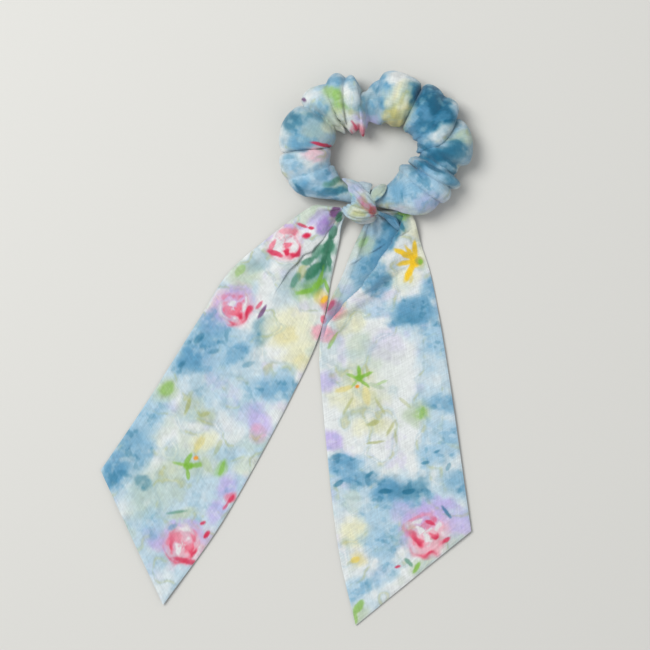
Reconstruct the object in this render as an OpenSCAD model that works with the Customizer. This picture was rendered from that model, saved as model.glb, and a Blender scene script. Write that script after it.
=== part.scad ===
// Scrunchie with a scarf tied round it: an elastic loop inside a gathered casing, and a
// double-layer scarf knotted at the foot of the loop, whose two tails lie on the table.
// +Z is up, +Y runs from the tails to the ring, and the origin is under the middle of the whole.

/* [Ring] */
// Half the elastic loop's width, on its centre line
loop_a = 36.5; // [33:0.5:44]
// Half the elastic loop's height, on its centre line
loop_b = 26.5; // [24:0.5:32]
// Half the width of a gathered puff, across the ring
puff_w = 13; // [11:0.5:15]
// Half the height of a gathered puff
puff_h = 11; // [9:0.5:13]
// How deep the folds between puffs go, as a share of the puff
fold_depth = 0.14; // [0.06:0.01:0.2]
// Gathered puffs round the ring
puffs = 12; // [8:4:16]
// Half the width of the hollow that the elastic lies in
channel_r = 7; // [5.5:0.5:8]

/* [Elastic] */
// Width of the flat elastic
elastic_w = 6; // [5:0.5:7]
// Thickness of the flat elastic
elastic_t = 1; // [0.8:0.1:1.3]
// Length of the sewn overlap
overlap_l = 16; // [12:1:22]

/* [Neck] */
// Radius of the casing where the knot squeezes it
neck_r = 5; // [4.5:0.25:6]
// Wall of the squeezed casing
neck_wall = 0.8; // [0.6:0.1:1]
// How far the knot sits to the left of the ring's middle
knot_shift = 8; // [5:0.5:10]
// Clearance between the casing and the scarf's loop
loop_clear = 0.7; // [0.6:0.05:1]

/* [Knot] */
// Wall of the scarf's loop round the casing
wrap_wall = 2.6; // [2:0.1:3.5]
// Width of the scarf's loop along the ring
wrap_w = 12; // [9:0.5:13]
// Radius of the knot's front
knot_r = 8.5; // [7.5:0.25:9.5]

/* [Scarf] */
// Finished width of the scarf
scarf_w = 67; // [56:1:76]
// Height of the slanted cut at each end
cut_h = 42; // [30:1:50]
// Thickness of one cloth layer
cloth_t = 0.6; // [0.4:0.1:0.8]
// Width of the turned-in seam allowance
allowance_w = 6; // [4:0.5:8]
// Thickness of the seam thread
thread_t = 0.5; // [0.3:0.1:0.6]
// From the knot to the long point of the left tail
left_l = 235; // [200:1:280]
// From the knot to the long point of the right tail
right_l = 219; // [190:1:262]
// Slant of the left tail, away from straight down
left_turn = 32; // [28:1:40]
// Slant of the right tail, away from straight down
right_turn = 7.5; // [6:0.5:16]

/* [Hidden] */
$fn = 48;
join_gap = 0.3;                 // between bodies that move apart
around = 20;                    // points round the casing
steps = 54;                     // points along each half of the ring
elastic_steps = 40;

// The scarf: i runs toward the other tail from a tail's own line, v down the tail
foot_drop = 5.5;                // from the ring's line to the point the tails spread from
fold_v = 125;                   // the crease where a tail folds
shoulder_v = 96;                // the gathers have opened to the full width
hinge_v = 50;                   // the gathered neck ends
inner_tuck = 12;                // width still gathered at the neck, on the inner edge
outer_tuck = 5;
left_c = -9;                    // middle of the left tail, off its own line
right_c = -2.4;
tail_t = 3 * cloth_t;           // back, allowance and face
gather_i = -2;                  // middle of the narrow end of a tail's gathers
gather_v = 13;                  // and how far down the tail it is
gather_r = 4;
gather_h = 8;
slant = cut_h / scarf_w;
slant_k = sqrt(1 + slant * slant);

// The loop at the knot
ring_z = puff_h;
knot_t = -90 - asin(knot_shift / loop_a);
knot_at = [loop_a * cos(knot_t), loop_b * sin(knot_t)];
knot_turn = atan2(loop_b * cos(knot_t), -loop_a * sin(knot_t));
axis_lift = wrap_w * wrap_w * loop_b / (16 * loop_a * loop_a);   // half the bow under the loop
wrap_r = neck_r + loop_clear + wrap_wall;
foot = [knot_at[0], knot_at[1] - foot_drop];

// Where a tail's corners come, to centre the whole over the origin
function tail_point(turn, i, v, side) =
    [foot[0] + side * i * cos(turn) + side * v * -sin(turn),
     foot[1] - i * sin(turn) - v * cos(turn)];
left_corner = tail_point(left_turn, left_c - scarf_w / 2, left_l - cut_h, 1);
left_tip = tail_point(left_turn, left_c + scarf_w / 2, left_l, 1);
right_corner = tail_point(right_turn, right_c - scarf_w / 2, right_l - cut_h, -1);
right_tip = tail_point(right_turn, right_c + scarf_w / 2, right_l, -1);
x_max = max(loop_a + puff_w, right_corner[0]);
x_min = min(-loop_a - puff_w, left_corner[0]);
y_max = loop_b + puff_w;
y_min = min(left_tip[1], right_tip[1]);
ring_x = -(x_max + x_min) / 2;
ring_y = -(y_max + y_min) / 2;

// ---- the ring ----

function ease(x) = x <= 0 ? 0 : x >= 1 ? 1 : x * x * (3 - 2 * x);

// Point on the elastic's centre line, moved outward, at an angle round the ellipse
function on_loop(t, out) =
    let (nx = loop_b * cos(t), ny = loop_a * sin(t), n = sqrt(nx * nx + ny * ny))
    [loop_a * cos(t) + out * nx / n, loop_b * sin(t) + out * ny / n];

// Distance from the knot along the loop, near enough for a short way
function from_knot(t) = norm(on_loop(t, 0) - knot_at);

// 0 in the squeezed neck, 1 on the full puffs
function open_up(t) = ease((from_knot(t) - wrap_w / 2 - 2) / 14);

// Share of the full puff, with the folds between puffs
function puffed(t) = 1 - fold_depth * (1 - cos(puffs * (t - 90))) / 2;

function across(t) = neck_r + (puff_w * puffed(t) - neck_r) * open_up(t);
function upright(t) = neck_r + (puff_h * puffed(t) - neck_r) * open_up(t);
function hollow(t) = neck_r - neck_wall + (channel_r - neck_r + neck_wall) * open_up(t);

// One point of a tube round the loop
function tube_point(t, a, w, h) =
    let (p = on_loop(t, w * cos(a))) [p[0], p[1], ring_z + h * sin(a)];

// A solid swept along the loop from one angle to another: rings of n points, closed at both ends
module swept(rings, n) {
    m = len(rings);
    polyhedron(
        points = [for (r = rings) each r],
        faces = concat(
            [[for (j = [n - 1 : -1 : 0]) j]],
            [[for (j = [0 : n - 1]) (m - 1) * n + j]],
            [for (k = [0 : m - 2], j = [0 : n - 1])
                [k * n + j, k * n + (j + 1) % n, (k + 1) * n + (j + 1) % n, (k + 1) * n + j]]));
}

// A bar along the loop, set out by some way, with a rectangular section
module loop_bar(from, to, n, out, thick, low, high) {
    swept([for (k = [0 : n]) let (t = from + (to - from) * k / n,
            a = on_loop(t, out - thick / 2), b = on_loop(t, out + thick / 2))
        [[a[0], a[1], ring_z + low], [b[0], b[1], ring_z + low],
         [b[0], b[1], ring_z + high], [a[0], a[1], ring_z + high]]], 4);
}

// The wall between the casing's outside and its hollow, as one shell
module casing_half(from, to) {
    n = around;
    m = steps + 1;
    outer = [for (k = [0 : steps], j = [0 : n - 1]) let (t = from + (to - from) * k / steps)
        tube_point(t, 360 * j / n, across(t), upright(t))];
    inner = [for (k = [0 : steps], j = [0 : n - 1]) let (t = from + (to - from) * k / steps)
        tube_point(t, 360 * j / n, hollow(t), hollow(t))];
    o = m * n;
    polyhedron(
        points = concat(outer, inner),
        faces = concat(
            [for (k = [0 : m - 2], j = [0 : n - 1]) let (q = (j + 1) % n)
                [k * n + j, k * n + q, (k + 1) * n + q, (k + 1) * n + j]],
            [for (k = [0 : m - 2], j = [0 : n - 1]) let (q = (j + 1) % n)
                [o + k * n + q, o + k * n + j, o + (k + 1) * n + j, o + (k + 1) * n + q]],
            [for (j = [0 : n - 1]) let (q = (j + 1) % n) [q, j, o + j, o + q]],
            [for (j = [0 : n - 1]) let (q = (j + 1) % n, e = (m - 1) * n)
                [e + j, e + q, o + e + q, o + e + j]]));
}

module at_ring() {
    translate([ring_x, ring_y, 0]) children();
}

slip = join_gap / 2 / loop_b * 180 / PI;

module elastic_lower() {
    color("ivory") at_ring()
        loop_bar(-180 + slip, -slip, elastic_steps, 0, elastic_t, -elastic_w / 2, elastic_w / 2);
}

module elastic_upper() {
    color("ivory") at_ring()
        loop_bar(slip, 180 - slip, elastic_steps, 0, elastic_t, -elastic_w / 2, elastic_w / 2);
}

// Half the overlap, as an angle at the top of the loop
overlap_t = overlap_l / 2 / loop_a * 180 / PI;

module elastic_overlap() {
    color("ivory") at_ring()
        loop_bar(90 - overlap_t, 90 + overlap_t, 12, elastic_t + 0.05, elastic_t,
                 -elastic_w / 2, elastic_w / 2);
}

module elastic_stitches() {
    color("white") at_ring() for (z = [-1, 1])
        loop_bar(90 - overlap_t * 0.85, 90 + overlap_t * 0.85, 10,
                 1.5 * elastic_t + 0.1 + thread_t / 2, thread_t,
                 z * elastic_w / 4 - thread_t / 2, z * elastic_w / 4 + thread_t / 2);
}

module casing_lower() {
    color("lightsteelblue") at_ring() casing_half(-180 + slip, -slip);
}

module casing_upper() {
    color("lightsteelblue") at_ring() casing_half(slip, 180 - slip);
}

// The casing's long seam, inside the hollow on the hole side
module casing_seam(from, to) {
    swept([for (k = [0 : elastic_steps]) let (t = from + (to - from) * k / elastic_steps,
            out = -hollow(t) * cos(180 / around) + 0.12,
            a = on_loop(t, out), b = on_loop(t, out + thread_t))
        [[a[0], a[1], ring_z - thread_t / 2], [b[0], b[1], ring_z - thread_t / 2],
         [b[0], b[1], ring_z + thread_t / 2], [a[0], a[1], ring_z + thread_t / 2]]], 4);
}

module casing_seam_lower() {
    color("white") at_ring() casing_seam(-180 + slip, -slip);
}

module casing_seam_upper() {
    color("white") at_ring() casing_seam(slip, 180 - slip);
}

// Frame at the knot: origin on the neck's axis, Z along the ring, X down, Y across
module at_knot() {
    translate([ring_x + knot_at[0], ring_y + knot_at[1] + axis_lift, ring_z])
        rotate([0, 0, knot_turn]) rotate([0, 90, 0]) children();
}

// The casing's two ends, whipped together inside the neck
module casing_closing_stitches() {
    closing_r = (neck_r - neck_wall) * cos(180 / around) - axis_lift - 0.03;
    color("white") at_knot() difference() {
        cylinder(r = closing_r, h = 1.2, center = true);
        cylinder(r = closing_r - 0.35, h = 3, center = true);
        translate([-6, 2.2, -2]) cube([12, 9.6, 4]);
    }
}

// ---- the knot ----

module neck_bore() {
    at_knot() cylinder(r = neck_r + loop_clear, h = 60, center = true);
}

module scarf_loop() {
    color("lavender") difference() {
        at_knot() cylinder(r = wrap_r, h = wrap_w, center = true);
        neck_bore();
    }
}

module knot_ball(grow) {
    at_knot() translate([-4.5, -5.5, 0]) sphere(r = knot_r + grow);
}

module knot_front() {
    color("paleturquoise") difference() {
        knot_ball(0);
        at_knot() cylinder(r = wrap_r, h = 60, center = true);
    }
}

// The tails' first folds, coming out under the knot's front
module knot_tuck() {
    color("lavender") difference() {
        at_knot() translate([4.2, -9, 0]) sphere(r = 5);
        knot_ball(0.08);
        at_knot() cylinder(r = wrap_r + 0.08, h = 60, center = true);
    }
}

// ---- the tails ----

// A tail's own frame: X toward the other tail, -Y down the tail
module at_left() {
    translate([ring_x + foot[0], ring_y + foot[1], 0]) rotate([0, 0, -left_turn]) children();
}

module at_right() {
    translate([ring_x + foot[0], ring_y + foot[1], 0]) rotate([0, 0, right_turn])
        mirror([1, 0, 0]) children();
}

// The tail's outline from the gathers down, brought in by some way from its edges
module outline(l, c, inset) {
    w = scarf_w / 2;
    drop = inset * slant_k;
    polygon([
        [c - w + outer_tuck + inset, -hinge_v], [c - w + inset, -shoulder_v],
        [c - w + inset, -(l - cut_h + inset * slant - drop)],
        [c + w - inset, -(l - inset * slant - drop)],
        [c + w - inset, -shoulder_v], [c + w - inner_tuck - inset, -hinge_v]]);
}

// Keeps the part of a tail above its crease, or the part below it
module part_of(end, l) {
    intersection() {
        children();
        translate([-3 * scarf_w, end ? -l - 50 : -fold_v + join_gap / 2])
            square([6 * scarf_w, end ? l + 50 - fold_v - join_gap / 2 : fold_v]);
    }
}

module sheet(l, c, end, low) {
    translate([0, 0, low]) linear_extrude(cloth_t) part_of(end, l) outline(l, c, 0);
}

module strip(l, c, end, from, to, thick) {
    translate([0, 0, cloth_t]) linear_extrude(thick) part_of(end, l) difference() {
        outline(l, c, from);
        outline(l, c, to);
        translate([-3 * scarf_w, -hinge_v - 0.01]) square([6 * scarf_w, 1]);
    }
}

// From the narrow end under the knot to the flat tail
module gathers(c) {
    w = scarf_w / 2;
    hull() {
        translate([gather_i, -gather_v, 0]) cylinder(r = gather_r, h = gather_h, $fn = 24);
        translate([c - w + outer_tuck, -hinge_v, 0])
            cube([2 * w - inner_tuck - outer_tuck, 0.8, tail_t]);
    }
}

module left_gathers() { color("lightcyan") at_left() gathers(left_c); }
module left_back() { color("lightblue") at_left() sheet(left_l, left_c, false, 0); }
module left_face() { color("lightcyan") at_left() sheet(left_l, left_c, false, 2 * cloth_t); }
module left_allowance() {
    color("powderblue") at_left()
        strip(left_l, left_c, false, thread_t + 0.1, allowance_w, cloth_t);
}
module left_thread() {
    color("white") at_left() strip(left_l, left_c, false, 0, thread_t, cloth_t);
}
module left_end_back() { color("lightblue") at_left() sheet(left_l, left_c, true, 0); }
module left_end_face() { color("lightcyan") at_left() sheet(left_l, left_c, true, 2 * cloth_t); }
module left_end_allowance() {
    color("powderblue") at_left()
        strip(left_l, left_c, true, thread_t + 0.1, allowance_w, cloth_t);
}
module left_end_thread() {
    color("white") at_left() strip(left_l, left_c, true, 0, thread_t, cloth_t);
}

module right_gathers() { color("honeydew") at_right() gathers(right_c); }
module right_back() { color("lightblue") at_right() sheet(right_l, right_c, false, 0); }
module right_face() { color("honeydew") at_right() sheet(right_l, right_c, false, 2 * cloth_t); }
module right_allowance() {
    color("powderblue") at_right()
        strip(right_l, right_c, false, thread_t + 0.1, allowance_w, cloth_t);
}
module right_thread() {
    color("white") at_right() strip(right_l, right_c, false, 0, thread_t, cloth_t);
}
module right_end_back() { color("lightblue") at_right() sheet(right_l, right_c, true, 0); }
module right_end_face() { color("honeydew") at_right() sheet(right_l, right_c, true, 2 * cloth_t); }
module right_end_allowance() {
    color("powderblue") at_right()
        strip(right_l, right_c, true, thread_t + 0.1, allowance_w, cloth_t);
}
module right_end_thread() {
    color("white") at_right() strip(right_l, right_c, true, 0, thread_t, cloth_t);
}

elastic_lower();
elastic_upper();
elastic_overlap();
elastic_stitches();
casing_lower();
casing_upper();
casing_seam_lower();
casing_seam_upper();
casing_closing_stitches();
scarf_loop();
knot_front();
knot_tuck();
left_gathers();
left_back();
left_face();
left_allowance();
left_thread();
left_end_back();
left_end_face();
left_end_allowance();
left_end_thread();
right_gathers();
right_back();
right_face();
right_allowance();
right_thread();
right_end_back();
right_end_face();
right_end_allowance();
right_end_thread();
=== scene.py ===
# Scarf scrunchie: gathered ring, knot, and two long printed tails lying on a pale table.
# Lengths inside the dictionaries are in millimetres, positions in the frame of the part.
import math

import bpy
import numpy as np
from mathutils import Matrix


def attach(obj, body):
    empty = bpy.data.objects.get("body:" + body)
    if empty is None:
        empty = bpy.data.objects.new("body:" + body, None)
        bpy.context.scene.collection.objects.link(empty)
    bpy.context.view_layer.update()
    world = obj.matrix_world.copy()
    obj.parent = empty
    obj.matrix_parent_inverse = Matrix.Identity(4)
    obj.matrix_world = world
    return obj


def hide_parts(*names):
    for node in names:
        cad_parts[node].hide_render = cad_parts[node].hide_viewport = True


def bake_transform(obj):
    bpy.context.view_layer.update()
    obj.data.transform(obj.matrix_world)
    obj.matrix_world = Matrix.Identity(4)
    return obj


mm = 0.001

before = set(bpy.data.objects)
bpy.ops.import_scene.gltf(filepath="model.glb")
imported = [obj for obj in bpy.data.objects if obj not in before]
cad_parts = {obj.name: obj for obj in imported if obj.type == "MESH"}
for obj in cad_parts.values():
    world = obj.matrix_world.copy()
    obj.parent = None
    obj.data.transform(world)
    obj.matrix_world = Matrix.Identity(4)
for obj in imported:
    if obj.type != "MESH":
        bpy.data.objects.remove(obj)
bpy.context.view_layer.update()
print("frame loaded")


# rises from 0 to 1 between low and high, level at both ends
def ease(x, low=0.0, high=1.0):
    t = np.clip((x - low) / (high - low), 0, 1)
    return t * t * (3 - 2 * t)


# a value at each place along, read off a short list of (place, value) and rounded at the joins
def follow(pairs, at):
    places = np.array([p[0] for p in pairs], float)
    values = np.array([p[1] for p in pairs], float)
    k = np.clip(np.searchsorted(places, at, side="right") - 1, 0, len(places) - 2)
    return values[k] + (values[k + 1] - values[k]) * ease(at, places[k], places[k + 1])


# a smooth line through a few points: a cubic on each span whose slope at a point is half the
# step between its two neighbours, then spaced evenly along its length
def smoothLine(points, count):
    p = np.array(points, float)
    p = np.vstack([2 * p[0] - p[1], p, 2 * p[-1] - p[-2]])
    t = np.linspace(0, 1, 24, endpoint=False)[None, :, None]
    a, b, c, d = (p[k:len(p) - 3 + k][:, None, :] for k in range(4))
    fine = 0.5 * (2 * b + (c - a) * t + (2 * a - 5 * b + 4 * c - d) * t**2
                  + (3 * b - a - 3 * c + d) * t**3)
    fine = np.vstack([fine.reshape(-1, p.shape[1]), p[-2]])
    run = np.concatenate([[0], np.cumsum(np.linalg.norm(np.diff(fine, axis=0), axis=1))])
    even = np.linspace(0, run[-1], count)
    return np.stack([np.interp(even, run, fine[:, k]) for k in range(p.shape[1])], axis=1)


# value noise: a number for each corner of a lattice of unit cells, blended smoothly inside a cell
def latticeNoise(p, seed):
    cell = np.floor(p).astype(np.int64)
    f = p - cell
    f = f * f * (3 - 2 * f)
    total = np.zeros(p.shape[:-1])
    for corner in range(8):
        step = np.array([corner & 1, corner >> 1 & 1, corner >> 2 & 1])
        c = cell + step
        h = c[..., 0] * 374761393 + c[..., 1] * 668265263 + c[..., 2] * 1442695041 + seed * 974711
        h = (h ^ (h >> 13)) * 1274126177
        h = (h ^ (h >> 16)) & 0xFFFF
        total += h / 65535 * np.prod(np.where(step == 1, f, 1 - f), axis=-1)
    return total


# several sizes of value noise added, each half the size and half the weight of the last
def noise(p, size, seed, octaves=4):
    total, weight = 0, 0
    for k in range(octaves):
        total = total + latticeNoise(p / size * 2**k + 17.3 * k, seed + k) / 2**k
        weight += 1 / 2**k
    return total / weight


# averages along the rows' second direction, with the ends carried straight on
def blurAcross(v, reach):
    w = np.exp(-np.linspace(-2, 2, 2 * reach + 1) ** 2)
    w /= w.sum()
    head = 2 * v[:, :1] - v[:, reach:0:-1]
    tail = 2 * v[:, -1:] - v[:, -2:-reach - 2:-1]
    wide = np.concatenate([head, v, tail], axis=1)
    return sum(w[k] * wide[:, k:k + v.shape[1]] for k in range(2 * reach + 1))


# normal of a grid of points: the step along crossed with the step across
def gridNormal(g, wrapA=False, wrapB=False):
    steps = []
    for axis, wraps in enumerate((wrapA, wrapB)):
        if wraps:
            steps.append(np.roll(g, -1, axis=axis) - np.roll(g, 1, axis=axis))
        else:
            steps.append(np.gradient(g, axis=axis))
    n = np.cross(*steps)
    return n / np.maximum(np.linalg.norm(n, axis=-1, keepdims=True), 1e-12)


# the line that the knot turns on: a point of it, and its turn from the x axis in degrees
hinge = {"at": (39.81, 80.84, 11), "turn": -9.26}


# room for the casing that the knot turns on: points nearer to the hinge's line than twice the clear
# radius are moved out along their own radius, to the clear radius and half of what they had
def offTheNeck(g, clear=4.7):
    turn = math.radians(hinge["turn"])
    line = np.array([math.cos(turn), math.sin(turn), 0])
    d = g - np.array(hinge["at"])
    along = (d @ line)[..., None] * line
    r = d - along
    far = np.maximum(np.linalg.norm(r, axis=-1, keepdims=True), 0.05)
    wanted = np.where(far < 2 * clear, clear + far / 2, far)
    return g + r / far * (wanted - far)


# a new object in the scene
def addObject(name, data):
    o = bpy.data.objects.new(name, data)
    bpy.context.scene.collection.objects.link(o)
    return o


# puts points, and faces given as arrays of quads or triangles, straight into a mesh; returns it and
# the point at each corner
def fillMesh(name, points, faces):
    mesh = bpy.data.meshes.new(name)
    counts = np.concatenate([np.full(len(f), f.shape[1]) for f in faces])
    corners = np.concatenate([f.ravel() for f in faces])
    mesh.vertices.add(len(points))
    mesh.vertices.foreach_set("co", points.astype(np.float32).ravel())
    mesh.loops.add(len(corners))
    mesh.loops.foreach_set("vertex_index", corners.astype(np.int32))
    mesh.polygons.add(len(counts))
    starts = np.concatenate([[0], np.cumsum(counts)[:-1]])
    mesh.polygons.foreach_set("loop_start", starts.astype(np.int32))
    mesh.polygons.foreach_set("use_smooth", np.ones(len(counts), bool))
    mesh.update(calc_edges=True)
    return mesh, corners


# a piece: a mesh with a colour and a cloth coordinate for each point, sharp over 70 degrees
def makePiece(name, points, faces, colour, weave, material):
    mesh, corners = fillMesh(name, points * mm, faces)
    mesh.validate()
    mesh.set_sharp_from_angle(angle=math.radians(70))
    paint = mesh.color_attributes.new("print", "FLOAT_COLOR", "POINT")
    rgba = np.concatenate([toLinear(colour), np.ones((len(colour), 1))], axis=1)
    paint.data.foreach_set("color", rgba.astype(np.float32).ravel())
    uv = mesh.uv_layers.new(name="weave")
    uv.data.foreach_set("uv", weave[corners].astype(np.float32).ravel())
    mesh.materials.append(material)
    return addObject(name, mesh)


# screen colour to linear light: a straight foot, then a power of 2.4
def toLinear(c):
    c = np.clip(c, 0, 1)
    return np.where(c <= 0.04045, c / 12.92, ((c + 0.055) / 1.055) ** 2.4)


# quads of an n by m grid, going round where it wraps
def gridQuads(n, m, wrapA=False, wrapB=False):
    i = np.arange(n if wrapA else n - 1)[:, None]
    j = np.arange(m if wrapB else m - 1)[None, :]
    i2, j2 = (i + 1) % n, (j + 1) % m
    quad = [i * m + j, i2 * m + j, i2 * m + j2, i * m + j2]
    return np.stack([np.broadcast_to(q, (i.size, j.size)) for q in quad], axis=-1).reshape(-1, 4)


# a sheet with two sides: the middle points moved half a thickness each way, rims closed
def clothSheet(name, grid, thick, colour, underColour, weave, material, wrapA=False, wrapB=False):
    n, m = grid.shape[:2]
    normal = gridNormal(grid, wrapA, wrapB)
    top, under = grid + normal * thick / 2, grid - normal * thick / 2
    i, j, off = np.arange(n - 1) * m, np.arange(m - 1), n * m
    quads = gridQuads(n, m, wrapA, wrapB)
    faces = [quads, quads[:, ::-1] + off]
    rims = []
    if not wrapB:
        rims += [(i + m, i), (i + m - 1, i + 2 * m - 1)]
    if not wrapA:
        rims += [(j, j + 1), (j + 1 + (n - 1) * m, j + (n - 1) * m)]
    for a, b in rims:
        faces.append(np.stack([a, b, b + off, a + off], axis=1))
    points = np.concatenate([top.reshape(-1, 3), under.reshape(-1, 3)])
    both = np.concatenate([colour.reshape(-1, 3), underColour.reshape(-1, 3)])
    uv = np.concatenate([weave.reshape(-1, 2)] * 2)
    return makePiece(name, points, faces, both, uv, material)


# cloth coordinates of a grid: even steps from 0 along and across, up to the two numbers given
def weaveOf(n, m, along, across):
    rows = np.linspace(0, along, n)[:, None] + np.zeros((1, m))
    columns = np.zeros((n, 1)) + np.linspace(0, across, m)[None, :]
    return np.stack([rows, columns], axis=-1)


# a closed tube: a ring of points for each place along a path, with a point at each end
def closedTube(name, rings, colour, material, wrap=False):
    n, m = rings.shape[:2]
    faces = [gridQuads(n, m, wrap, True)]
    points = rings.reshape(-1, 3)
    paint = colour.reshape(-1, 3)
    uv = weaveOf(n, m, n / 10, m / 10).reshape(-1, 2)
    if not wrap:
        j = np.arange(m)
        first = np.full(m, n * m)
        last = first + 1
        faces.append(np.stack([j, (j + 1) % m, first], axis=1))
        faces.append(np.stack([(n - 1) * m + (j + 1) % m, (n - 1) * m + j, last], axis=1))
        points = np.vstack([points, rings[0].mean(0), rings[-1].mean(0)])
        paint = np.vstack([paint, colour[0].mean(0), colour[-1].mean(0)])
        uv = np.vstack([uv, uv[0], uv[-1]])
    return makePiece(name, points, faces, paint, uv, material)


printColours = {
    "white": (0.855, 0.87, 0.86), "sky": (0.61, 0.745, 0.82), "blue": (0.34, 0.57, 0.70),
    "teal": (0.07, 0.37, 0.49), "mist": (0.53, 0.66, 0.71), "paleGreen": (0.70, 0.76, 0.66),
    "green": (0.46, 0.68, 0.20), "leaf": (0.14, 0.42, 0.30), "yellow": (0.93, 0.75, 0.12),
    "cream": (0.865, 0.86, 0.72), "ochre": (0.84, 0.79, 0.52), "pink": (0.90, 0.62, 0.68),
    "red": (0.80, 0.14, 0.28), "rose": (0.87, 0.40, 0.48), "lilac": (0.72, 0.66, 0.86),
    "violet": (0.60, 0.46, 0.74), "plum": (0.36, 0.18, 0.38), "orange": (0.92, 0.56, 0.12),
    "olive": (0.62, 0.64, 0.36),
}

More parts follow.
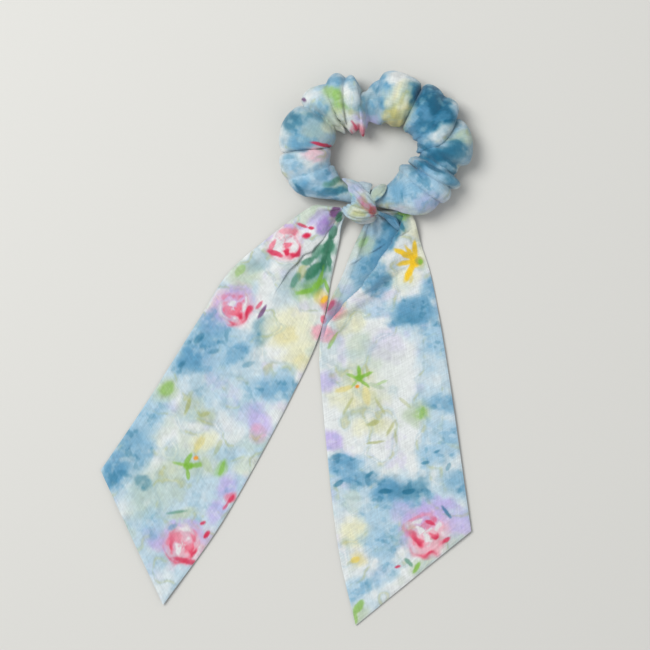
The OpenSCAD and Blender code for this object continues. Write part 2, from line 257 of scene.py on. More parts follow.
# soft pools of colour: x, y, half length, half width, turn in degrees, colour, strength; later ones
# lie over earlier ones
tailPools = [
    (46, -14, 15, 13, 20, "paleGreen", 0.45), (40, -27, 10, 8, 40, "mist", 0.3),
    (-70, -76, 14, 13, 40, "paleGreen", 0.45), (62, -76, 14, 9, 0, "blue", 0.5),
    (20, 74, 9, 5, 20, "paleGreen", 0.7), (8, 70, 9, 5, 30, "paleGreen", 0.55),
    (21, 66, 6, 4, 60, "violet", 0.75), (17, 70, 6, 3, 40, "lilac", 0.6),
    (-22, 40, 8, 7, 30, "paleGreen", 0.7), (-15, 47, 8, 5, 30, "mist", 0.5),
    (-27, 23, 11, 9, 30, "pink", 0.55), (-27, 27, 6, 5, 30, "lilac", 0.8),
    (-35, 16, 8, 6, 30, "lilac", 0.45), (21, 50, 10, 5, 70, "leaf", 0.55),
    (16, 38, 12, 6, 60, "leaf", 0.5), (10, 31, 8, 5, 20, "green", 0.4), (20, 27, 5, 4, 0, "yellow", 0.35),
    (2, 33, 11, 7, 60, "mist", 0.4), (-12, 10, 8, 5, 60, "teal", 0.4), (3, 9, 13, 12, 20, "cream", 0.75),
    (9, -5, 8, 8, 30, "cream", 0.7), (1, 7, 6, 5, 20, "ochre", 0.4), (9, -7, 4, 4, 20, "ochre", 0.35),
    (-42, 3, 16, 9, 50, "blue", 0.7), (-51, -5, 8, 6, 50, "blue", 0.6), (-30, -2, 13, 8, 40, "sky", 0.8),
    (-26, -3, 7, 4, 40, "blue", 0.5), (-9, -19, 13, 8, 30, "sky", 0.8), (-9, -20, 7, 5, 30, "blue", 0.55),
    (3, -22, 6, 7, 50, "blue", 0.5), (-63, -21, 7, 5, 40, "paleGreen", 0.8),
    (-63, -20, 4, 3, 40, "green", 0.5), (-51, -33, 8, 6, 30, "paleGreen", 0.5),
    (-42, -36, 5, 4, 20, "olive", 0.35), (-14, -38, 6, 9, 30, "lilac", 0.75),
    (-15, -45, 5, 5, 30, "pink", 0.5), (-31, -44, 10, 9, 30, "white", 0.8),
    (-76, -40, 14, 9, 55, "sky", 0.8), (-82, -56, 15, 10, 55, "blue", 0.5),
    (-91, -67, 9, 7, 55, "blue", 0.8), (-76, -70, 4, 3, 0, "teal", 0.4),
    (-50, -57, 13, 11, 40, "paleGreen", 0.5), (-44, -50, 7, 5, 20, "cream", 0.8),
    (-60, -66, 8, 6, 20, "cream", 0.5), (-34, -63, 5, 3, 60, "green", 0.4),
    (-20, -61, 7, 6, 40, "cream", 0.5), (-31, -72, 7, 5, 60, "lilac", 0.7),
    (-37, -86, 6, 5, 60, "lilac", 0.65), (-29, -78, 3, 3, 60, "rose", 0.7),
    (-55, -87, 9, 3, 20, "paleGreen", 0.8), (-67, -102, 6, 9, 60, "lilac", 0.8),
    (-70, -92, 9, 6, 60, "sky", 0.6), (-54, -103, 13, 11, 30, "pink", 0.6),
    (-66, -124, 7, 6, 60, "white", 0.6),
    # the other tail
    (47, 62, 9, 8, 60, "sky", 0.7), (45, 42, 8, 9, 60, "blue", 0.6), (41, 57, 5, 6, 50, "paleGreen", 0.8),
    (57, 64, 10, 5, 60, "teal", 0.75), (52, 56, 9, 4, 55, "blue", 0.8), (62, 72, 6, 3, 30, "green", 0.7),
    (66, 66, 7, 5, 60, "cream", 0.5), (73, 56, 6, 10, 10, "cream", 0.55),
    (62, 38, 9, 6, 10, "cream", 0.5), (49, 33, 8, 5, 30, "blue", 0.65), (77, 32, 6, 6, 20, "blue", 0.6),
    (66, 18, 14, 8, 10, "blue", 0.85), (64, 16, 7, 4, 10, "teal", 0.3), (80, 5, 7, 8, 80, "sky", 0.9),
    (48, 22, 10, 6, 20, "sky", 0.6), (25, 22, 5, 6, 70, "rose", 0.75), (19, 9, 4, 7, 80, "pink", 0.8),
    (22, -17, 5, 8, 80, "lilac", 0.6), (36, 14, 8, 7, 20, "cream", 0.7),
    (39, 4, 8, 5, 40, "paleGreen", 0.5), (53, 3, 9, 9, 10, "lilac", 0.25),
    (36, -22, 12, 9, 20, "cream", 0.8), (45, -28, 9, 7, 20, "ochre", 0.25),
    (60, -15, 12, 10, 20, "white", 0.7), (46, -40, 11, 6, 20, "cream", 0.7),
    (47, -40, 6, 4, 20, "olive", 0.3), (71, -34, 7, 6, 20, "paleGreen", 0.8),
    (72, -34, 4, 3, 20, "green", 0.35), (85, -29, 5, 9, 80, "blue", 0.5),
    (84, -45, 8, 11, 80, "sky", 0.8), (23, -49, 5, 7, 80, "lilac", 0.8), (33, -62, 12, 8, 0, "sky", 0.9),
    (30, -60, 6, 6, 0, "blue", 0.6), (41, -68, 9, 5, 10, "blue", 0.6), (54, -74, 10, 5, 0, "blue", 0.8),
    (66, -74, 8, 5, 10, "teal", 0.35), (79, -55, 9, 8, 20, "sky", 0.9), (92, -70, 6, 10, 80, "blue", 0.5),
    (48, -88, 9, 7, 10, "sky", 0.6), (73, -96, 14, 11, 30, "pink", 0.6),
    (78, -86, 10, 6, 30, "lilac", 0.85), (62, -86, 7, 6, 60, "lilac", 0.5),
    (58, -98, 8, 8, 30, "sky", 0.8), (36, -98, 8, 9, 80, "cream", 0.85),
    (38, -110, 5, 5, 30, "ochre", 0.6), (50, -103, 9, 9, 60, "sky", 0.9),
    (52, -118, 10, 6, 30, "sky", 0.7), (37, -128, 8, 6, 60, "sky", 0.9),
    (38, -140, 6, 5, 30, "paleGreen", 0.8), (70, -116, 7, 4, 30, "paleGreen", 0.7),
    (92, -92, 6, 7, 30, "lilac", 0.7),
]

ringPools = [
    (10, 88, 13, 9, 30, "sky", 0.9), (20, 83, 9, 5, 0, "sky", 0.8), (7, 84, 6, 3, 40, "blue", 0.7),
    (13, 101, 10, 7, 10, "white", 0.9), (16, 103, 7, 4, 0, "pink", 0.5), (4, 98, 6, 6, 60, "sky", 0.9),
    (19, 94, 6, 4, 10, "blue", 0.5), (11, 118, 12, 10, 60, "mist", 1.0), (4, 120, 5, 6, 60, "teal", 0.55),
    (16, 112, 7, 6, 20, "paleGreen", 0.35), (8, 108, 9, 4, 0, "blue", 0.6),
    (21, 122, 4, 8, 80, "teal", 0.4), (20, 133, 10, 5, 30, "sky", 0.9), (12, 131, 6, 3, 30, "white", 0.8),
    (30, 140, 9, 3, 0, "blue", 0.7), (28, 131, 5, 8, 70, "paleGreen", 0.8),
    (26, 134, 3, 5, 70, "green", 0.4), (30, 126, 3, 5, 70, "green", 0.5),
    (26, 120, 7, 5, 30, "cream", 0.6), (36, 134, 5, 6, 70, "white", 0.9), (38, 138, 4, 3, 0, "mist", 0.6),
    (37, 122, 4, 7, 80, "white", 0.8), (38, 114, 4, 3, 20, "rose", 0.8),
    (43, 121, 4, 7, 70, "lilac", 0.6), (46, 128, 5, 9, 80, "mist", 0.8), (50, 140, 5, 7, 60, "blue", 0.8),
    (51, 128, 3, 9, 80, "blue", 0.5), (58, 142, 6, 5, 0, "white", 1.0),
    (62, 132, 8, 8, 60, "cream", 0.95), (57, 120, 6, 5, 20, "ochre", 0.9),
    (60, 114, 4, 3, 0, "green", 0.8), (66, 137, 6, 4, 30, "mist", 0.4), (64, 124, 5, 4, 60, "ochre", 0.5),
    (76, 130, 11, 10, 60, "teal", 1.1), (82, 120, 9, 9, 60, "teal", 1.0), (70, 122, 6, 5, 60, "blue", 0.9),
    (69, 111, 6, 8, 80, "blue", 0.95), (72, 117, 4, 4, 0, "teal", 0.5), (81, 112, 9, 4, 30, "white", 0.8),
    (92, 107, 6, 7, 70, "mist", 0.9), (94, 111, 5, 4, 0, "paleGreen", 0.8),
    (84, 102, 9, 5, 20, "teal", 0.7), (74, 104, 6, 4, 20, "blue", 0.9), (76, 98, 12, 5, 30, "teal", 0.85),
    (72, 92, 9, 4, 30, "blue", 0.9), (86, 90, 5, 6, 60, "teal", 0.8), (74, 83, 14, 9, 20, "sky", 1.0),
    (64, 84, 9, 6, 10, "sky", 0.9), (76, 78, 8, 5, 20, "lilac", 0.35), (58, 82, 6, 6, 20, "blue", 0.6),
    (30, 86, 6, 4, 20, "paleGreen", 0.8), (26, 88, 5, 2, 20, "leaf", 0.6),
    (26, 83, 8, 2, 10, "teal", 0.7), (50, 80, 5, 4, 0, "sky", 0.9),
]

knotPools = [
    (33, 78, 5, 6, 60, "sky", 0.9), (33, 80, 3, 3, 60, "green", 0.45), (38, 72, 6, 4, 10, "cream", 0.8),
    (38, 70, 4, 2, 10, "olive", 0.5), (40, 80, 5, 3, 130, "white", 0.9),
    (41, 77, 5, 2, 130, "lilac", 0.7), (43, 75, 5, 3, 140, "rose", 0.85), (46, 73, 3, 2, 30, "red", 0.9),
    (49, 82, 6, 4, 40, "paleGreen", 0.7), (34, 86, 8, 3, 150, "lilac", 0.4),
    (55, 70, 9, 4, 120, "blue", 0.9),
]

# strokes with a crisp edge: x, y, half length, half width, turn, colour, strength
tailStrokes = [
    (11, 60, 2.6, 1.5, 20, "red", 0.95), (13.5, 64, 1.6, 1, 0, "red", 0.9),
    (9, 65.5, 3.4, 0.9, -20, "red", 0.7), (-6, 51, 4.5, 1.4, -20, "red", 0.85),
    (-7, 55, 3.5, 1.2, 60, "rose", 0.8), (26, 73, 3.2, 2.4, 40, "plum", 0.85),
    (28, 70, 2.6, 1.6, 70, "leaf", 0.8), (-12.5, 20, 4, 1, 60, "plum", 0.75),
    (-14, 24, 2.5, 0.9, 50, "red", 0.6), (22.5, 55, 4.8, 2.6, 70, "leaf", 0.8),
    (25, 62, 3.5, 2, 70, "leaf", 0.7), (15, 42, 6, 2.6, 40, "leaf", 0.85),
    (20, 45, 4.5, 1.8, 80, "leaf", 0.8), (17.5, 35, 4, 1.4, 30, "green", 0.8),
    (10.5, 31, 5, 1.6, 10, "green", 0.75), (20.5, 26.5, 2.4, 1.3, 40, "yellow", 0.8),
    (18, 37, 6.5, 1, 72, "green", 0.8), (22, 33, 4.5, 0.9, 110, "green", 0.7),
    (12, 47, 4, 1.8, 20, "leaf", 0.7), (23, 47, 4.5, 1.4, 95, "leaf", 0.75),
    (17, 52, 4.5, 2, 50, "leaf", 0.5), (8, 41, 4, 2.2, 70, "olive", 0.5),
    (5, 37, 4.5, 1.8, 60, "leaf", 0.55), (-24, 42, 4, 1.8, 50, "green", 0.4),
    (-46, 6, 3.5, 1.6, 40, "teal", 0.45), (-38, -1, 3, 1.3, 20, "teal", 0.35),
    (-20, -8, 3.5, 1.2, 20, "teal", 0.3), (-55, -8, 2.6, 1.4, 50, "teal", 0.4),
    (-52, -30, 4.5, 1.2, 70, "olive", 0.6), (-43, -34, 3.2, 1, 20, "olive", 0.55),
    (-36, -52, 4, 1.1, 60, "olive", 0.4), (-34, -63, 4.6, 1.2, 70, "green", 0.6),
    (-29, -79, 2.6, 1, 60, "red", 0.85), (-32, -83, 2, 0.8, 50, "red", 0.6),
    (-58, -86, 5.5, 0.9, 10, "leaf", 0.45), (-91, -69, 3.4, 1.8, 60, "teal", 0.35),
    (-42, -98, 2.4, 1.1, 60, "red", 0.95), (-44, -92, 1.6, 0.9, 20, "red", 0.85),
    (-53, -112, 8, 1.6, -10, "red", 0.75), (-60, -94, 2.5, 1.2, 30, "blue", 0.5),
    (-18, -66, 4.2, 0.6, 60, "olive", 0.4), (-26, -58, 4, 0.6, 20, "olive", 0.3),
    # the other tail
    (24, 23, 3, 1.2, 60, "red", 0.75), (20, 16, 1.6, 2.2, 0, "rose", 0.9),
    (41, 57, 3.2, 1.6, 50, "green", 0.35), (60, 67, 5, 1.2, 120, "teal", 0.7),
    (62.5, 73, 3.2, 1.2, 150, "green", 0.85), (25, 5, 5, 0.9, 60, "green", 0.55),
    (43, -12, 4, 0.9, 100, "olive", 0.5), (50, -30, 5, 0.9, 120, "olive", 0.45),
    (33, -30, 5, 0.9, 60, "olive", 0.45), (46, -39, 3.5, 1.4, 20, "olive", 0.6),
    (55, -42, 4.2, 0.9, 60, "olive", 0.5), (47, -49, 5.5, 0.8, 10, "olive", 0.55),
    (72, -34, 3.2, 1.4, 70, "green", 0.45), (63, -28, 4.2, 0.9, 140, "olive", 0.35),
    (58, -46, 4, 0.8, 100, "olive", 0.35), (53, -75, 3.6, 1.5, 0, "teal", 0.7),
    (65.5, -75, 3.2, 1.3, 10, "teal", 0.7), (28, -71, 3, 1.2, 30, "teal", 0.6),
    (44, -66, 2.5, 1, 40, "teal", 0.45), (80, -54, 2, 0.9, 30, "teal", 0.45),
    (74, -60, 2.4, 0.9, 10, "teal", 0.5), (86, -62, 2.2, 0.9, 60, "teal", 0.4),
    (36.5, -111, 2.4, 1.6, 20, "yellow", 0.45), (59, -115, 1.8, 0.7, 10, "red", 0.8),
    (69, -115.5, 3.2, 1.2, 60, "green", 0.75), (65, -113, 2.8, 1, 130, "leaf", 0.55),
    (38.5, -136.5, 4.2, 2, 50, "green", 0.65), (36.5, -143, 2.8, 1.6, 80, "green", 0.55),
    (85, -86, 3.6, 1, 130, "teal", 0.6), (76.5, -91.5, 3, 1, -20, "red", 0.8),
    (85, -101, 3, 1, 40, "red", 0.75), (50, -18, 4, 0.8, 20, "green", 0.35),
    # the yellow flower, its petals drawn as strokes, and the two green stars
    (63, 50.5, 6, 1.5, 155, "yellow", 0.95), (68.5, 52.5, 6, 1.4, 96, "yellow", 0.9),
    (65.5, 41.5, 6.5, 1.7, 62, "yellow", 0.95), (63.5, 46, 4.5, 1.3, 12, "yellow", 0.8),
    (66, 51, 4.5, 1.2, 125, "yellow", 0.85), (68.5, 46.5, 3.2, 3, 0, "yellow", 0.95),
    (71, 47, 2, 2.4, 0, "olive", 0.8), (71.5, 46.5, 1.2, 1.4, 0, "green", 0.8),
    (66, 37, 2, 1, 70, "ochre", 0.9), (38.5, -12, 3.4, 1.1, 92, "green", 0.85),
    (42.3, -13.6, 3.6, 1, 22, "green", 0.8), (35.2, -14, 3.2, 0.9, 160, "green", 0.6),
    (41.3, -18, 3.4, 0.9, -40, "green", 0.7), (36, -18.4, 2.8, 0.8, 55, "green", 0.5),
    (38.8, -15, 2.2, 1.8, 0, "green", 0.9), (37.8, -19.6, 1.1, 1, 0, "orange", 0.95),
    (31, -21, 5, 1.4, 18, "ochre", 0.8), (42.5, -24.5, 2, 5, 12, "ochre", 0.6),
    (48, -19.5, 4.5, 1.2, -15, "paleGreen", 0.8), (-52, -58, 3.6, 1.2, 60, "green", 0.8),
    (-48, -61, 4, 1.2, 10, "green", 0.75), (-56, -60.5, 3.4, 1, 165, "green", 0.6),
    (-52, -66, 3.4, 1.1, 95, "green", 0.7), (-51.5, -61.5, 2.6, 1.8, 20, "green", 0.85),
    (-48, -57.3, 1.2, 1, 0, "orange", 0.95), (-46, -50, 5, 1.8, 60, "ochre", 0.7),
    (-41.5, -61, 2, 4.5, 30, "paleGreen", 0.9),
]

ringStrokes = [
    (19, 107.5, 5.5, 0.9, -6, "red", 0.95), (9.5, 131, 1.6, 0.8, -20, "plum", 0.9),
    (41, 112.5, 2.4, 0.9, 20, "red", 0.9), (37, 113.5, 3, 0.7, -50, "white", 0.9),
    (36, 117.5, 2.8, 0.7, -50, "red", 0.6), (60, 113.5, 2.2, 1.2, 0, "olive", 0.9),
    (27, 133, 2, 3.6, 10, "green", 0.35), (8, 84, 4.5, 0.9, -48, "teal", 0.8),
    (77, 95, 7, 1, -26, "teal", 0.8), (72, 106, 4, 1.1, -30, "teal", 0.8),
    (86, 98, 5, 1, -35, "teal", 0.6), (63, 104, 2.5, 1, 60, "teal", 0.5),
]

# roses: x, y, size across, turn
flowers = [(0, 57, 23, 10), (-27, 22, 23, 40), (-54, -103, 27, 0), (74, -96, 29, 20)]


# 1 inside a soft ellipse and 0 outside, its edge bent by the noise given
def ellipseMask(x, y, spot, bend, edge):
    cx, cy, a, b, turn = spot[:5]
    c, s = math.cos(math.radians(turn)), math.sin(math.radians(turn))
    u = ((x - cx) * c + (y - cy) * s) / a
    v = (-(x - cx) * s + (y - cy) * c) / b
    r = np.sqrt(u * u + v * v) + bend
    return 1 - ease(r, 1 - edge, 1 + edge)


# lays a colour over another, as much as the mask says
def lay(c, mask, colour):
    return c + (np.array(printColours[colour]) - c) * mask[:, None]


# the watercolour: white cloth, faint washes from slow noise, pools, flowers, then strokes, and
# last the speckle of the pigment; x and y carry the motifs and p carries the noise
def paintCloth(p, pools, strokes, motifs, tint="sky", amount=0.55):
    p = p.reshape(-1, 3)
    x, y = p[:, 0], p[:, 1]
    slow, middle = noise(p, 26, 11, 3), noise(p, 9, 23, 4)
    fine = noise(p, 2.6, 37, 3)
    driftX = (noise(p, 7, 51, 3) - 0.5) * 4.5
    driftY = (noise(p, 7, 67, 3) - 0.5) * 4.5
    poolX, poolY = x + driftX, y + driftY
    strokeX, strokeY = x + driftX * 0.3, y + driftY * 0.3
    c = np.zeros((len(x), 3)) + np.array(printColours["white"])
    c = lay(c, ease(slow + 0.35 * (middle - 0.5), 0.42, 0.66) * amount, tint)
    c = lay(c, ease(noise(p, 15, 83, 4), 0.60, 0.74) * amount * 0.6, "mist")
    c = lay(c, ease(noise(p, 12, 97, 4), 0.60, 0.76) * 0.35, "paleGreen")
    c = lay(c, ease(noise(p, 10, 113, 4), 0.60, 0.76) * 0.25, "lilac")
    bend = (middle - 0.5) * 1.1 + (fine - 0.5) * 0.5
    for pool in pools:
        reach = 2.2 * max(pool[2:4]) + 6
        near = (np.abs(x - pool[0]) < reach) & (np.abs(y - pool[1]) < reach)
        if near.any():
            m = ellipseMask(poolX[near], poolY[near], pool, bend[near], 0.42)
            m = m * (0.72 + 0.56 * fine[near]) * pool[6]
            c[near] = lay(c[near], np.clip(m, 0, 1), pool[5])
    blueness = ease(c[:, 2] - c[:, 0], 0.05, 0.26)
    dabs = noise(p * np.array([1.0, 1.5, 1.0]), 5.2, 101, 3)
    c = lay(c, ease(dabs, 0.54, 0.66) * blueness * 0.45, "blue")
    c = lay(c, ease(noise(p, 4.4, 131, 3), 0.60, 0.70) * blueness * 0.3, "teal")
    c = lay(c, ease(noise(p, 4.8, 151, 3), 0.58, 0.72) * 0.28, "white")
    # petal outlines: where slow warped noise crosses its middle value
    petals = 1 - np.abs(2 * noise(p + (bend * 4)[:, None], 13, 171, 2) - 1)
    broken = ease(noise(p, 5, 191, 2), 0.42, 0.6)
    c = lay(c, ease(petals, 0.90, 0.985) * broken * (1 - blueness) * 0.38, "olive")
    c = lay(c, ease(petals, 0.80, 0.95) * (1 - ease(petals, 0.95, 1)) * (1 - blueness) * 0.25, "mist")
    curl = noise(p, 6.5, 211, 2)
    for cx, cy, size, turn in motifs:
        near = (np.abs(x - cx) < size) & (np.abs(y - cy) < size)
        if near.any():
            c[near] = paintFlower(c[near], (x + driftX * 0.6)[near], (y + driftY * 0.6)[near],
                                  fine[near], curl[near], cx, cy, size / 2, turn)
    for s in strokes:
        near = (np.abs(x - s[0]) < s[2] + s[3] + 4) & (np.abs(y - s[1]) < s[2] + s[3] + 4)
        if near.any():
            m = ellipseMask(strokeX[near], strokeY[near], s, (fine[near] - 0.5) * 0.9, 0.3)
            c[near] = lay(c[near], m * s[6] * (0.75 + 0.4 * fine[near]), s[5])
    grain = noise(p, 1.1, 5, 2)
    dab = ease(noise(p, 4.2, 71, 3), 0.56, 0.70)
    c = c * (1 + (grain[:, None] - 0.5) * 0.07) * (1 - dab[:, None] * 0.035)
    return np.clip(c, 0, 1)


# a rose: a pink wash heavier to one side, over it short arcs of colour made by reading the noise
# in polar terms, long along the angle and short along the radius; the far rim is lilac
def paintFlower(c, x, y, fine, curl, cx, cy, r, turn):
    dx, dy = x - cx, y - cy
    d = np.hypot(dx, dy) / r * (1 + 0.5 * (curl - 0.5))
    a = np.arctan2(dy, dx) - math.radians(turn)
    inside = 1 - ease(d, 0.70, 1.0)
    shaded = 0.5 - 0.5 * np.sin(a)
    polar = np.stack([np.cos(a) * 1.3 + cx, np.sin(a) * 1.3 + cy, d * 4.2], axis=-1)
    petals = latticeNoise(polar, 301) * 0.7 + latticeNoise(polar * 2.1, 302) * 0.3
    c = lay(c, inside * (0.25 + 0.3 * curl) * (0.6 + 0.4 * shaded), "pink")
    c = lay(c, ease(petals, 0.50, 0.64) * inside * (0.45 + 0.45 * shaded), "rose")
    c = lay(c, ease(petals, 0.60, 0.70) * inside * ease(d, 0.25, 0.5) * shaded * 0.9, "red")
    c = lay(c, ease(-petals, -0.46, -0.36) * (1 - ease(d, 0.55, 0.9)) * 0.85, "white")
    rim = ease(d, 0.6, 0.8) * (1 - ease(d, 0.95, 1.15))
    c = lay(c, rim * (1 - shaded) * ease(fine, 0.35, 0.6) * 0.7, "lilac")
    return c


# the reverse of the cloth: the same dye seen through, so paler and softer
def throughCloth(c):
    return c * 0.55 + np.array(printColours["white"]) * 0.43


# fills a shader node's inputs: a socket is linked in, anything else is set as a value
def fillInputs(tree, n, inputs):
    for name, value in inputs.items():
        if isinstance(value, bpy.types.NodeSocket):
            tree.links.new(value, n.inputs[name])
        else:
            n.inputs[name].default_value = value


# adds a shader node of a kind and fills its inputs
def addNode(tree, kind, inputs):
    n = tree.nodes.new("ShaderNode" + kind)
    fillInputs(tree, n, inputs)
    return n


# works one number out of two or three others, such as their sum or product
def combine(tree, operation, *values):
    n = addNode(tree, "Math", {})
    n.operation = operation
    fillInputs(tree, n, dict(enumerate(values)))
    return n.outputs[0]


# spreads a number over the range from 1 - swing to 1 + swing
def spread(tree, value, swing, low=0.0, high=1.0):
    return addNode(tree, "MapRange", {"Value": value, "From Min": low, "From Max": high,
                                      "To Min": 1 - swing, "To Max": 1 + swing}).outputs[0]


# woven cloth: the dye times a fine mottle and the streaks of thicker yarns; its bump is the product
# of the waves along the two thread directions, and half of the slub noise
def clothMaterial(name, settings):
    m = bpy.data.materials.new(name)
    m.use_nodes = True
    t = m.node_tree
    t.nodes.clear()
    dye = addNode(t, "Attribute", {})
    dye.attribute_name = "print"
    uv = addNode(t, "UVMap", {})
    uv.uv_map = "weave"
    heights = []
    for direction, pitch in (("X", settings["threads"]), ("Y", settings["threads"] * 0.92)):
        w = addNode(t, "TexWave", {"Scale": pitch, "Distortion": 1.4, "Detail": 2, "Detail Scale": 0.6,
                                   "Vector": uv.outputs[0]})
        w.bands_direction = direction
        heights.append(w.outputs["Fac"])
    weave = combine(t, "MULTIPLY", *heights)
    where = addNode(t, "TexCoord", {}).outputs["Object"]
    slub = addNode(t, "TexNoise", {"Scale": settings["slub"], "Detail": 5, "Vector": where}).outputs["Fac"]
    # thicker yarns: noise drawn out along each of the two thread directions
    yarns = []
    for scale in ((1.4, 15.0, 1), (15.0, 1.4, 1)):
        way = addNode(t, "Mapping", {"Scale": scale, "Vector": uv.outputs[0]})
        yarn = addNode(t, "TexNoise", {"Scale": 1, "Detail": 2, "Vector": way.outputs[0]})
        yarns.append(yarn.outputs["Fac"])
    streak = spread(t, combine(t, "ADD", *yarns), settings["streak"], 0.6, 1.4)
    tone = combine(t, "MULTIPLY", spread(t, slub, settings["mottle"]), streak)
    mix = addNode(t, "Mix", {})
    mix.data_type = "RGBA"
    mix.blend_type = "MULTIPLY"
    fillInputs(t, mix, {"Factor": 1, "A": dye.outputs["Color"], "B": tone})
    height = combine(t, "MULTIPLY_ADD", slub, 0.5, weave)
    bump = addNode(t, "Bump", {"Strength": settings["bump"], "Distance": 0.0002, "Height": height})
    shader = addNode(t, "BsdfPrincipled", {
        "Base Color": mix.outputs["Result"], "Roughness": settings["roughness"],
        "Sheen Weight": settings["sheen"], "Sheen Roughness": 0.5,
        "Specular IOR Level": settings["gloss"], "Normal": bump.outputs[0]})
    addNode(t, "OutputMaterial", {"Surface": shader.outputs[0]})
    return m


printedLawn = clothMaterial("printedLawn", {
    "roughness": 0.78, "sheen": 0.25, "gloss": 0.22, "threads": 7.0, "slub": 900, "mottle": 0.05,
    "streak": 0.13, "bump": 0.6})
sewingThread = clothMaterial("sewingThread", {
    "roughness": 0.6, "sheen": 0.2, "gloss": 0.35, "threads": 3.0, "slub": 2500, "mottle": 0.08,
    "streak": 0.05, "bump": 0.6})
braidedElastic = clothMaterial("braidedElastic", {
    "roughness": 0.7, "sheen": 0.1, "gloss": 0.3, "threads": 5.0, "slub": 1500, "mottle": 0.1,
    "streak": 0.08, "bump": 0.8})
print("materials made")

ring = {
    "middle": (47.2, 106.2), "halfWidth": 36.6, "halfHeight": 26.4, "lift": 10.6,
    "puffOut": 11.6, "puffUp": 9.6, "cloth": 0.35, "steps": 280, "around": 44,
    "knotAngle": -102.5, "neck": 4.1, "neckReach": 6, "opening": 25,
    # folds between puffs: angle outside, angle inside, depth outside, depth inside
    "folds": [
        (-120, -122, 1.6, 1.8), (-156, -143, 0.9, 1.2), (-175.6, -176.4, 3.2, 3.0),
        (-214.7, -223, 2.8, 3.4), (-236, -229, 1.0, 3.2), (-249, -233, 2.4, 3.4), (-261, -252, 6.0, 2.2),
        (-272, -261, 1.6, 2.6), (-303.4, -303, 3.6, 3.4), (-321, -334, 1.4, 2.4), (-336, -369, 3.6, 3.0),
        (-383, -384, 4.2, 2.6), (-393, -402, 2.4, 2.4), (-406, -420, 1.2, 1.4), (-440, -440, 1.5, 1.5)],
    "bulge": [1.4, 1.0, 1.2, 1.6, 1.3, 1.0, 0.8, 0.6, 0.6, 1.6, 1.2, 1.4, 0.8, 1.0],
    "lean": [0.5, 1.2, -1.5, 1.6, 1.2, 1.4, -1.2, 1.0, -1.6, 1.0, -2.0, 1.4, 1.0, -1.0],
    # notches and lobes: angle, half width in degrees, change outside, change inside
    "notches": [(-263, 7.5, -9.0, 0), (-257, 4.5, 0, 4.5), (-243, 8, 1.5, 0), (-282, 6, 0.8, 0),
                (-236, 4, 0, 2.0), (-332, 5, 0, 2.2), (-376, 4, -2.0, 0), (-190, 12, 0, -1.2),
                (-150, 14, 0, -2.0)],
    "wrinkle": 0.9, "gatherLength": 7.0,
}
# the height that the lowest cloth keeps above the table
tableGap = 0.35
ringCloth = {"stiffness": 14, "bending": 9.0, "grow": 0.16, "frames": 16, "cap": 4.5, "smooth": 2}


# lays low points down: under the start their height falls off as a power towards the table's gap
def restOnTable(z, start):
    low = (start - tableGap) * np.exp(np.minimum(z - start, 0) / start)
    return tableGap + np.where(z > start, z - tableGap, low)


